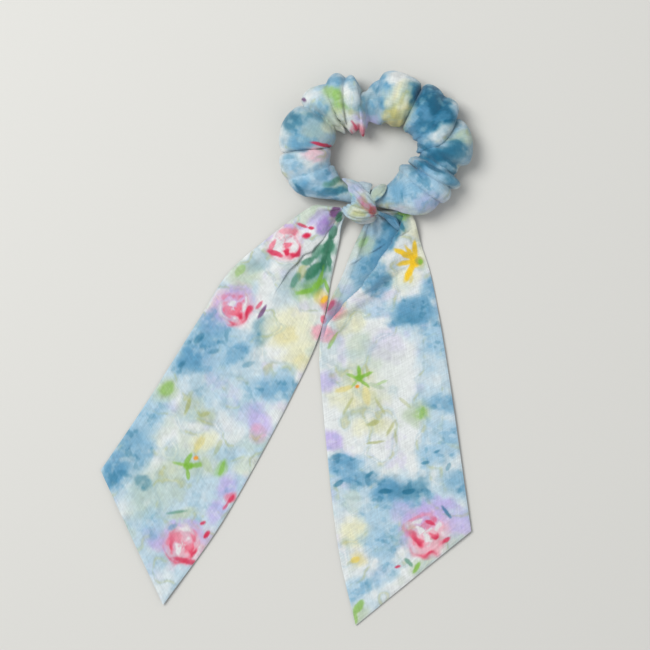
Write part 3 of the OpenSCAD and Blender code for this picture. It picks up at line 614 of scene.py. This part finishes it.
# ring cover: an oval tube round an ellipse. Between two folds the radius swells as the root of a
# sine, each fold runs slanting from outside to inside, bell-shaped notches and lobes are added, the
# crests lean over their folds, and long fine wrinkles follow the tube round, deeper on the inside
def ringSurface(r):
    t = np.linspace(0, 2 * math.pi, r["steps"], endpoint=False)[:, None]
    a = np.linspace(0, 2 * math.pi, r["around"], endpoint=False)[None, :]
    inside = (1 - np.cos(a)) / 2
    degrees = np.degrees(t)
    start = r["knotAngle"]
    along = (start - degrees) % 360
    folds = np.array(r["folds"])
    swell = lean = 0 * along * inside
    for k in range(len(folds) - 1):
        low = (start - folds[k, 0]) + (folds[k, 0] - folds[k, 1]) * inside
        high = (start - folds[k + 1, 0]) + (folds[k + 1, 0] - folds[k + 1, 1]) * inside
        q = np.clip((along - low) / np.maximum(high - low, 2), 0, 1)
        hump = np.sqrt(np.maximum(np.sin(math.pi * q), 0))
        deepA = folds[k, 2] + (folds[k, 3] - folds[k, 2]) * inside
        deepB = folds[k + 1, 2] + (folds[k + 1, 3] - folds[k + 1, 2]) * inside
        deep = deepA * (1 - ease(q)) + deepB * ease(q)
        within = (q > 0) & (q < 1)
        swell = np.where(within, hump * (r["bulge"][k] + deep) - deep, swell)
        lean = np.where(within, r["lean"][k] * hump * (0.4 + 0.6 * inside), lean)
    for angle, half, outChange, inChange in r["notches"]:
        swell = swell + np.exp(-(((along - (start - angle)) / half) ** 2)) * (
            outChange * (1 - inside) ** 0.7 + inChange * inside)
    x0, y0 = r["halfWidth"] * np.cos(t), r["halfHeight"] * np.sin(t)
    knotX = r["halfWidth"] * math.cos(math.radians(start))
    knotY = r["halfHeight"] * math.sin(math.radians(start))
    away = np.hypot(x0 - knotX, y0 - knotY)
    openUp = ease(away, r["neckReach"], r["neckReach"] + r["opening"]) + 0 * a
    p = np.stack([x0 + 0 * a, y0 + 0 * a, 14 * np.cos(a) + 0 * t], axis=-1)
    gather = p / np.array([r["gatherLength"], r["gatherLength"], 26])
    coarse = 1 - np.abs(2 * latticeNoise(gather + 3, 7) - 1)
    fine = 1 - np.abs(2 * latticeNoise(gather * 2.1 + 9, 8) - 1)
    blotch = noise(p, 16, 9, 2)
    wrinkle = (coarse * 0.7 + fine * 0.35 - 0.62) * r["wrinkle"] * (0.35 + 1.1 * inside + blotch)
    wrinkle = wrinkle * (0.3 + 0.7 * openUp)
    outX = np.cos(t) * r["halfHeight"]
    outY = np.sin(t) * r["halfWidth"]
    size = np.hypot(outX, outY)
    outX, outY = outX / size, outY / size
    swell = swell * openUp
    across = r["neck"] + (r["puffOut"] - r["neck"]) * openUp + swell + wrinkle
    upright = r["neck"] + (r["puffUp"] - r["neck"]) * openUp + swell * 0.75 + wrinkle
    lean = lean * openUp
    g = np.stack([r["middle"][0] + x0 + outX * across * np.cos(a) + outY * lean,
                  r["middle"][1] + y0 + outY * across * np.cos(a) - outX * lean,
                  restOnTable(r["lift"] + upright * np.sin(a), 1.2)], axis=-1)
    # the bottoms of the folds and the squeezed neck hold their place when the cloth settles
    hold = np.clip(ease(-swell, 0.6, 2.4) * 0.8 + (1 - openUp) + 0.04, 0, 1)
    return g, hold


# the cover's cloth is longer than the tube it has been given: cloth simulation lets it grow by a
# share while the fold bottoms hold, so the slack buckles into small folds; no point goes further
# than the cap, and the moves are then smoothed by averaging each with its neighbours
def settleCloth(g, hold, settings):
    n, m = g.shape[:2]
    size = 0.02   # metres in the simulation for a millimetre of cloth
    mesh = fillMesh("settling", (g * size).reshape(-1, 3), [gridQuads(n, m, True, True)])[0]
    o = addObject("settling", mesh)
    group = o.vertex_groups.new(name="hold")
    level = (hold.ravel() * 20).round().astype(int)
    for k in range(21):
        members = np.nonzero(level == k)[0]
        if len(members):
            group.add(members.tolist(), k / 20, "REPLACE")
    cloth = o.modifiers.new("Cloth", "CLOTH")
    c = cloth.settings
    c.quality = 6
    c.mass = 0.3
    c.tension_stiffness = c.compression_stiffness = settings["stiffness"]
    c.shear_stiffness = settings["stiffness"] / 2
    c.bending_stiffness = settings["bending"]
    c.shrink_min = -settings["grow"]
    c.vertex_group_mass = "hold"
    c.pin_stiffness = 1.0
    c.effector_weights.gravity = 0
    c.air_damping = 4
    cloth.point_cache.frame_start = 1
    cloth.point_cache.frame_end = settings["frames"]
    for f in range(1, settings["frames"] + 1):
        bpy.context.scene.frame_set(f)
    done = o.evaluated_get(bpy.context.evaluated_depsgraph_get()).to_mesh()
    co = np.zeros(n * m * 3, np.float32)
    done.vertices.foreach_get("co", co)
    bpy.context.scene.frame_set(1)
    bpy.data.objects.remove(o)
    move = co.reshape(n, m, 3) / size - g
    far = np.linalg.norm(move, axis=-1, keepdims=True)
    move = move * np.minimum(1, settings["cap"] / np.maximum(far, 1e-6))
    for axis in (0, 1) * settings["smooth"]:
        move = move * 0.5 + (np.roll(move, 1, axis=axis) + np.roll(move, -1, axis=axis)) * 0.25
    print("cloth settled, moved", round(float(far.mean()), 2), "mm on average")
    return g + move


# twice as many points each way round: each new point is nine parts its two neighbours to one part
# the two beyond
def refineLoop(g, axis):
    before, after = np.roll(g, 1, axis=axis), np.roll(g, -1, axis=axis)
    middle = (9 * (g + after) - before - np.roll(g, -2, axis=axis)) / 16
    both = np.stack([g, middle], axis=axis + 1)
    shape = list(g.shape)
    shape[axis] *= 2
    return both.reshape(shape)


# the printed cover: settled cloth, refined, laid on the table and painted
def makeRing():
    g, hold = ringSurface(ring)
    g = settleCloth(g, hold, ringCloth)
    g = refineLoop(refineLoop(g, 0), 1)
    g[..., 2] = restOnTable(g[..., 2], 1.0)
    dye = paintCloth(g, ringPools, ringStrokes, [], "blue", 0.5).reshape(g.shape)
    cover = clothSheet("ringCover", g, ring["cloth"], dye, throughCloth(dye),
                       weaveOf(g.shape[0], g.shape[1], 34, 8), printedLawn, True, True)
    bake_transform(cover)
    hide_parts("casing_lower", "casing_upper")


# bars that follow the elastic's line: out and up from it, width, height, start and end in degrees,
# steps, the wave of a stitched line, the body or the whole ring, the slot, the nodes they stand for
elasticBars = {
    "elasticLoop": (0, 0, 1.0, 6.0, 0, 360, 400, 0, "ring", "elastic",
                    ["elastic_lower", "elastic_upper"]),
    "elasticOverlap": (1.05, 0, 0.9, 6.0, 77, 103, 40, 0, "ring_upper", "elastic", ["elastic_overlap"]),
    "elasticStitchRow0": (1.75, -1.5, 0.4, 0.5, 79, 101, 120, 0.12, "ring_upper", "thread",
                          ["elastic_stitches"]),
    "elasticStitchRow1": (1.75, 1.5, 0.4, 0.5, 79, 101, 120, 0.12, "ring_upper", "thread", []),
    "casingSeamThread": (-2.6, 0, 0.4, 0.4, 0, 360, 500, 0.1, "ring", "thread",
                         ["casing_seam_lower", "casing_seam_upper"]),
    "casingClosingStitches": (2.4, 0, 0.5, 3.0, -104, -101, 12, 0, "ring_lower", "thread",
                              ["casing_closing_stitches"]),
}
barColours = {"elastic": (0.90, 0.89, 0.85), "thread": (0.93, 0.93, 0.92)}


# a bar carried round the ring's ellipse: its corners are set out and up from the line
def makeBar(name, out, up, wide, tall, start, end, steps, wave, on, slot, nodes):
    closes = end - start == 360
    t = np.radians(np.linspace(start, end, steps, endpoint=not closes))[:, None]
    ox, oy = np.cos(t) * ring["halfHeight"], np.sin(t) * ring["halfWidth"]
    size = np.hypot(ox, oy)
    k = np.arange(16)[None, :] / 16 * 2 * math.pi
    sx = np.sign(np.cos(k)) * np.abs(np.cos(k)) ** 0.5 * wide / 2 + out + wave * np.sin(t * 60)
    sz = np.sign(np.sin(k)) * np.abs(np.sin(k)) ** 0.5 * tall / 2 + up
    g = np.stack([ring["middle"][0] + ring["halfWidth"] * np.cos(t) + ox / size * sx,
                  ring["middle"][1] + ring["halfHeight"] * np.sin(t) + oy / size * sx,
                  ring["lift"] + sz + 0 * t], axis=-1)
    paint = np.zeros(g.shape) + np.array(barColours[slot])
    piece = closedTube(name, g, paint, braidedElastic if slot == "elastic" else sewingThread, closes)
    if on == "ring":
        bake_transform(piece)
    else:
        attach(piece, on)
    if nodes:
        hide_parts(*nodes)


for name, bar in elasticBars.items():
    makeBar(name, *bar)
makeRing()
print("ring made")

# outer is the edge away from the other tail and inner the edge beside it, both from the knot down.
# pleat: place down the tail, how far across from the outer edge the fold lies, how deep it is
# after soft, each tail gives the strength of the blue painted shade laid on the layer under its fold
tails = {
    "left": {
        "outer": [(30, 76.8, 9), (21.5, 77.4, 6), (13, 75.3, 3.5), (-7, 61, 1), (-30, 41, 1),
                  (-46, 16, 1), (-73, -27, 1), (-98, -64, 1)],
        "inner": [(31, 71, 9), (29, 64, 5), (28, 57, 2), (24, 38, 1), (17, 6, 1), (-5, -40, 1),
                  (-35, -93, 1), (-65, -135, 1)],
        "pleat": [(0.0, 0.68, 3), (0.05, 0.64, 8), (0.1, 0.60, 14), (0.15, 0.53, 12), (0.19, 0.44, 8),
                  (0.25, 0.40, 3.5), (0.30, 0.42, 1), (0.34, 0.45, 0), (1, 0.47, 0)],
        "pleatGap": 1.4, "soft": 4, "foldShadeStrength": 0,
        "waves": [(0, 2.6), (0.06, 2.2), (0.16, 1.1), (0.3, 0.5), (0.45, 0), (1, 0)],
        "split": 0.37, "swingFrom": (33, 71), "swingTo": (14, 46), "foldAt": (-34.06, -26.07), "turn": 32.0,
        "length": 232, "seed": 3,
    },
    "right": {
        "outer": [(49, 74.8, 8), (56, 74, 4.5), (63, 74.2, 2), (66.5, 73.5, 1.5), (71, 57, 1),
                  (77, 38, 1), (83, 6, 1), (88, -26, 1), (98, -96, 1)],
        "inner": [(45.5, 72.5, 7.5), (41, 65, 3), (35, 52, 1), (29, 37, 1), (23, 24, 1), (18, 4, 1),
                  (19, -23, 1), (27, -100, 1), (37, -146, 1)],
        "pleat": [(0.0, 0.02, 0.5), (0.05, 0.05, 1), (0.095, 0.11, 3.5), (0.13, 0.22, 8), (0.15, 0.33, 12),
                  (0.19, 0.51, 11), (0.23, 0.65, 8), (0.265, 0.84, 5), (0.3, 0.95, 2.5), (0.36, 0.98, 0),
                  (1, 0.98, 0)],
        "pleatGap": 2.1, "soft": 1, "foldShadeStrength": 0.6,
        "waves": [(0, 2.8), (0.06, 2.4), (0.16, 1.3), (0.3, 0.6), (0.45, 0), (1, 0)],
        "split": 0.37, "swingFrom": (44, 70), "swingTo": (50, 40), "foldAt": (58.5, -48.45), "turn": -7.5,
        "length": 218, "seed": 9,
    },
}
# pleatReach, and the reach of the painted shade: how far the pleat's lift and the blue painted shade under
# the fold spread across the tail
scarf = {"width": 67, "cloth": 0.3, "gap": 0.34, "edgeGap": 0.16, "allowance": 6.0, "allowanceGap": 0.24,
         "allowanceCloth": 0.22, "waveCount": 5, "sag": 1.0, "pleatReach": 22, "foldShadeReach": 15,
         "neckRoom": 5.2, "thread": 0.11}


# middle surface of a tail: a straight line from the outer edge to the inner one at each place, with
# a Z fold whose two turns take up the hidden depth, accordion waves that die away from the neck,
# and a slow lift and fall of the cloth; returns the points, the distance to the nearest edge, and
# how close each point of the lowest layer is to the fold above it, as the mask of the painted shade there
def tailSurface(tail, first, last, rows, columns):
    s = np.linspace(first, last, rows)
    place = np.clip((s * 1000).round().astype(int), 0, 1000)
    outer, inner = (smoothLine(tail[side], 1001)[place] for side in ("outer", "inner"))
    step = inner - outer
    chord = np.linalg.norm(step[:, :2], axis=1)
    depth = follow([(p[0], p[2]) for p in tail["pleat"]], s)
    at = follow([(p[0], p[1]) for p in tail["pleat"]], s)[:, None]
    hidden = (depth / chord)[:, None]
    a = np.linspace(0, 1, columns)[None, :]
    run = a * (1 + 2 * hidden)
    x = np.where(run < at, run, np.where(run < at + hidden, 2 * at - run, run - 2 * hidden))
    strength = ease(depth, 0, 4)[:, None]
    reach = scarf["pleatReach"] / chord[:, None]
    under = at - hidden
    upper = 2 * ease(x, under - reach, under + 0.3 * hidden)
    beyond = np.where(run > at + hidden, 0, 1.0)
    layer = np.where(run < at, upper, np.where(run < at + hidden, 1.0, 0.0)) * beyond
    z = layer * tail["pleatGap"] * strength
    x, z = blurAcross(x, tail["soft"]), blurAcross(z, tail["soft"])
    # painted shade under the fold: strongest at the fold's edge on the lowest layer, fading with distance
    # from it
    away = np.abs(x - at) * chord[:, None] / scarf["foldShadeReach"]
    shadeUnderFold = np.where(run > at + hidden, np.exp(-away), 0) * strength
    lift = outer[:, 2:] * (1 - x) + inner[:, 2:] * x
    spread = chord[:, None] * (1 + 2 * hidden)
    needed = np.clip(scarf["width"] / spread, 1, 3)
    wave = np.sqrt(2 * (needed**2 - 1)) * spread / math.pi / scarf["waveCount"]
    wave = np.minimum(wave, follow(tail["waves"], s)[:, None])
    seedShift = tail["seed"] * 1.7
    bend = np.sin(s * 23 + seedShift)[:, None] * 0.6
    turns = 2 * math.pi * scarf["waveCount"] * run / (1 + 2 * hidden)
    ripple = 0.5 + 0.5 * np.cos(turns + bend + seedShift)
    edge = np.minimum(run, 1 + 2 * hidden - run) * chord[:, None]
    z = z + wave * ripple * ease(edge, -2, 6)
    plane = outer[:, None, :] + step[:, None, :] * x[:, :, None]
    slow = noise(plane * np.array([1, 1, 0]) + tail["seed"] * 31, 46, 5, 2)
    slow = np.maximum(slow - 0.42, 0) / 0.3
    g = plane.copy()
    g[..., 2] = lift + z + slow * scarf["sag"] * ease(s, 0.05, 0.3)[:, None]
    endEdge = (1 - s)[:, None] * tail["length"] * 0.86
    return offTheNeck(g, scarf["neckRoom"]), np.minimum(edge, endEdge), shadeUnderFold


# how far each layer stands off the middle: nothing at the seam, most over the turned-in allowance
def standOff(edge):
    over = ease(edge, 0, 1.1) * (1 - ease(edge, scarf["allowance"] - 0.6, scarf["allowance"] + 0.8))
    grow = (scarf["gap"] - scarf["edgeGap"]) * ease(edge, 0, 1.4)
    return scarf["edgeGap"] + grow + scarf["allowanceGap"] * over


# the part of a strip that runs along the edge, from an inset to the allowance's width, as two grids:
# one down the outer side and one down the inner side
def borderGrid(g, inset, width):
    shares = np.linspace(inset, width, 12) / scarf["width"]
    left = np.stack([readAcross(g, q) for q in shares], axis=1)
    right = np.stack([readAcross(g, 1 - q) for q in shares], axis=1)
    return left, right


# the line of points that lies a given share of the way across a grid
def readAcross(g, share):
    place = share * (g.shape[1] - 1)
    k = min(int(place), g.shape[1] - 2)
    return g[:, k] * (1 - (place - k)) + g[:, k + 1] * (place - k)


# bakes a tail's piece's placement into its mesh; the upper and the lower part are treated alike
def sendTo(piece, part):
    if part == "Upper":
        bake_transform(piece)
    else:
        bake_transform(piece)


# a tail in two parts, above and below the split, each a face and a back layer that
# stand off the middle surface, with the hem between them
def makeTail(side):
    tail = tails[side]
    split = tail["split"]
    for part, first, last in (("Upper", 0.0, split), ("Lower", split, 1.0)):
        long = (last - first) * tail["length"]
        prefix = side + ("_" if part == "Upper" else "_end_")
        middle = tailSurface(tail, first, last, int(long / 1.2), 120)[0]
        hem = makeBorder(side, part, middle, prefix, long)
        for layer, spacing, way in (("Face", 0.5, 1), ("Back", 0.9, -1)):
            rows = int(long / spacing)
            columns = int((96 if part == "Upper" else 68) / spacing)
            g, edge, shadeUnderFold = tailSurface(tail, first, last, rows, columns)
            normal = gridNormal(g)
            normal = np.where(normal[:, :1, 2:] < 0, -normal, normal)
            g = g + normal * (standOff(edge) * way)[..., None]
            if layer == "Face":
                dye = paintCloth(g, tailPools, tailStrokes, flowers, "sky", 0.55)
                # painted shade: the layer under the fold is darkened with blue near the fold's edge
                dye = lay(dye, shadeUnderFold.ravel() * tail["foldShadeStrength"], "blue")
            else:
                dye = paintCloth(g * np.array([-1, 1, 1]) + 300, [], [], [], "blue", 0.8)
            pale = throughCloth(dye)
            up = gridNormal(g)[..., 2].mean() > 0
            outward, inward = (dye, pale) if up == (way > 0) else (pale, dye)
            weave = weaveOf(rows, columns, long / 10, scarf["width"] / 10)[..., ::-1]
            piece = clothSheet(side + "Tail" + layer + part, g, scarf["cloth"], outward.reshape(g.shape),
                               inward.reshape(g.shape), weave, printedLawn)
            sendTo(piece, part)
            taken = [prefix + layer.lower()]
            if part == "Upper" and layer == "Face":
                taken.append(side + "_gathers")
            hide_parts(*taken)


# the turned-in seam allowance and the seam thread, between the two layers along both edges
def makeBorder(side, part, g, prefix, long):
    hem = []
    for name, strip in zip(("Outer", "Inner"), borderGrid(g, 0.9, scarf["allowance"])):
        dye = paintCloth(strip, tailPools, [], [], "sky", 0.5).reshape(strip.shape)
        weave = weaveOf(strip.shape[0], strip.shape[1], long / 10, 0.5)[..., ::-1]
        piece = clothSheet(side + "Allowance" + name + part, strip, scarf["allowanceCloth"], dye, dye,
                           weave, printedLawn)
        sendTo(piece, part)
        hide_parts(prefix + "allowance")
        hem.append(piece)
    for name, share in (("Outer", 0.006), ("Inner", 0.994)):
        line = readAcross(g, share)
        k = np.arange(8) / 8 * 2 * math.pi
        rings = line[:, None, :] + scarf["thread"] * np.stack([np.cos(k), 0 * k, np.sin(k)], axis=-1)
        piece = closedTube(side + "SeamThread" + name + part, rings[::-1], np.zeros(rings.shape) + 0.9,
                           sewingThread)
        sendTo(piece, part)
        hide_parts(prefix + "thread")
        hem.append(piece)
    return hem


makeTail("left")
makeTail("right")
print("tails made")

knotPaint = {"tint": "sky", "amount": 0.6}
# the turn round the casing: its middle, radius, half width and half thickness
knotTurn = {"at": (39.8, 80.84, 11), "radius": 6.5, "half": 4.6, "thick": 1.0}
# bands of folded cloth: path, half width and half thickness along it, folds along its length
knotBands = {
    "knotBody": {"path": [(33, 76.4, 9.5), (34.4, 74.4, 14), (38.5, 72.6, 16), (42.5, 72.8, 14),
                          (46, 74.2, 9)],
                 "wide": [(0, 3.2), (0.35, 4.9), (0.7, 4.2), (1, 2.8)],
                 "tall": [(0, 3.0), (0.5, 3.8), (1, 2.8)], "folds": 4, "depth": 0.16},
    "knotCross": {"path": [(34, 87.2, 14), (36, 84, 18.5), (40.4, 79, 20), (44.8, 74.6, 16.5),
                           (47.4, 71.8, 10)],
                  "wide": [(0, 2.4), (0.5, 3.6), (1, 2.2)], "tall": [(0, 1.2), (0.5, 2.0), (1, 1.5)],
                  "folds": 3, "depth": 0.2},
    "knotLeafRight": {"path": [(44, 77.6, 17), (46.8, 80.6, 17.6), (49.8, 83.4, 16.8), (52, 85.8, 13.5)],
                      "wide": [(0, 1.4), (0.5, 2.6), (1, 1.7)], "tall": [(0, 1.1), (0.5, 1.3), (1, 1.0)],
                      "folds": 2, "depth": 0.2},
    "knotLeafLeft": {"path": [(41.5, 80, 17.5), (38.2, 83.6, 17.6), (34, 87, 17), (29.5, 89, 15.4)],
                     "wide": [(0, 1.5), (0.5, 2.4), (1, 1.1)], "tall": [(0, 1.1), (0.5, 1.3), (1, 0.9)],
                     "folds": 2, "depth": 0.2},
    "knotTuck": {"path": [(33.5, 72.6, 6), (38, 71, 7.2), (43.5, 70.6, 7.2), (47.5, 72, 6)],
                 "wide": [(0, 3), (0.5, 4.2), (1, 3)], "tall": [(0, 2.6), (0.5, 3.4), (1, 2.6)],
                 "folds": 3, "depth": 0.14},
}


# a band: an oval carried along a smooth path, its rim rippled lengthwise and drawn in at the ends
def bandRings(band, steps=90, around=64):
    line = smoothLine(band["path"], steps)
    s = np.linspace(0, 1, steps)
    ahead = np.gradient(line, axis=0)
    ahead /= np.linalg.norm(ahead, axis=1, keepdims=True)
    side = np.cross(ahead, np.array([0, 0, 1.0]))
    side /= np.maximum(np.linalg.norm(side, axis=1, keepdims=True), 1e-6)
    up = np.cross(side, ahead)
    close = np.sqrt(np.clip(1 - np.abs(2 * s - 1) ** 6, 0.0004, 1))
    wide, tall = follow(band["wide"], s) * close, follow(band["tall"], s) * close
    k = np.arange(around)[None, :] / around * 2 * math.pi
    crest = np.abs(np.sin(band["folds"] * k + 1.6 * s[:, None] + 0.5 * np.sin(4 * s[:, None])))
    ripple = 1 + band["depth"] * (2 * crest**0.7 - 1.2)
    ripple = ripple + 0.03 * np.cos(3 * k - 7 * s[:, None])
    cx, cz = np.cos(k) * wide[:, None] * ripple, np.sin(k) * tall[:, None] * ripple
    return offTheNeck(line[:, None, :] + side[:, None, :] * cx[..., None] + up[:, None, :] * cz[..., None])


# the turn round the casing: an oval carried round the hinge's line, its outline rippled
def turnRings(turn):
    b = np.linspace(0, 2 * math.pi, 96, endpoint=False)[:, None]
    k = np.arange(40)[None, :] / 40 * 2 * math.pi
    slant = math.radians(hinge["turn"])
    radius = turn["radius"] + turn["thick"] * np.cos(k) * (1 + 0.12 * np.cos(7 * k + 2 * b))
    radius = radius + 0.25 * np.sin(5 * b + 2 * k)
    along = turn["half"] * np.sin(k) * (1 + 0.07 * np.cos(3 * b))
    out, high = radius * np.cos(b), radius * np.sin(b)
    return np.stack([turn["at"][0] + along * math.cos(slant) - out * math.sin(slant),
                     turn["at"][1] + along * math.sin(slant) + out * math.cos(slant),
                     turn["at"][2] + high], axis=-1)


# one painted piece of the knot's cloth
def paintedBand(name, rings, pools, wrap=False):
    dye = paintCloth(rings, pools, [], [], **knotPaint).reshape(rings.shape)
    piece = closedTube(name, rings, dye, printedLawn, wrap)
    return piece


# the knot: its bands, and the turn that holds them to the casing
def makeKnot():
    standsFor = {"knotBody": "knot_front", "knotTuck": "knot_tuck"}
    for name, band in knotBands.items():
        piece = paintedBand(name, bandRings(band), knotPools)
        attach(piece, "scarf_knot")
        if name in standsFor:
            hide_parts(standsFor[name])
    loop = paintedBand("scarfLoop", turnRings(knotTurn), knotPools, True)
    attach(loop, "scarf_knot")
    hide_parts("scarf_loop")


# the thin gathered strand that runs from the knot over the right tail, and its one pool of colour
strand = {"path": [(47, 75, 13), (51.5, 72.5, 10), (56.5, 68, 6.5), (61, 62.5, 4.2)],
          "wide": [(0, 1.5), (0.6, 2.0), (1, 1.2)], "tall": [(0, 1.2), (1, 0.9)],
          "folds": 3, "depth": 0.15, "pools": [(55, 71, 14, 5, 120, "blue", 0.9)]}

makeKnot()
sendTo(paintedBand("rightStrand", bandRings(strand), strand["pools"]), "Upper")
print("knot made")

table = {"colour": (0.795, 0.79, 0.765), "roughness": 0.55, "half": 3}


# the table top: one square at height 0
def makeTable():
    mesh = bpy.data.meshes.new("tableTop")
    h = table["half"]
    mesh.from_pydata([(-h, -h, 0), (h, -h, 0), (h, h, 0), (-h, h, 0)], [], [(0, 1, 2, 3)])
    m = bpy.data.materials.new("palePaint")
    m.use_nodes = True
    b = m.node_tree.nodes["Principled BSDF"]
    b.inputs["Base Color"].default_value = (*toLinear(np.array(table["colour"])), 1)
    b.inputs["Roughness"].default_value = table["roughness"]
    mesh.materials.append(m)
    addObject("tableTop", mesh)


makeTable()

lights = {
    "window": {"at": (-0.85, 0.62, 1.8), "size": 1.0, "power": 35},
    "room": {"at": (0.9, -0.5, 1.3), "size": 1.6, "power": 2.6},
}
for name, l in lights.items():
    lamp = bpy.data.lights.new(name, "AREA")
    lamp.size, lamp.energy = l["size"], l["power"]
    o = addObject(name, lamp)
    o.location = l["at"]
    away = -np.array(l["at"])
    o.rotation_euler = (math.atan2(math.hypot(away[0], away[1]), -away[2]), 0,
                        math.atan2(away[0], -away[1]) + math.pi)
world = bpy.data.worlds.new("softRoom")
world.use_nodes = True
world.node_tree.nodes["Background"].inputs[0].default_value = (0.93, 0.95, 1.0, 1)
world.node_tree.nodes["Background"].inputs[1].default_value = 0.50
bpy.context.scene.world = world
bpy.context.scene.view_settings.view_transform = "Standard"

view = {"middle": (0.0207, 0.0130), "height": 1.4, "width": 0.3445}
cam = bpy.data.cameras.new("cameraTop")
cam.sensor_width = 36
cam.lens = 36 * view["height"] / view["width"]
camObject = addObject("cameraTop", cam)
camObject.location = (*view["middle"], view["height"])
bpy.context.scene.camera = camObject
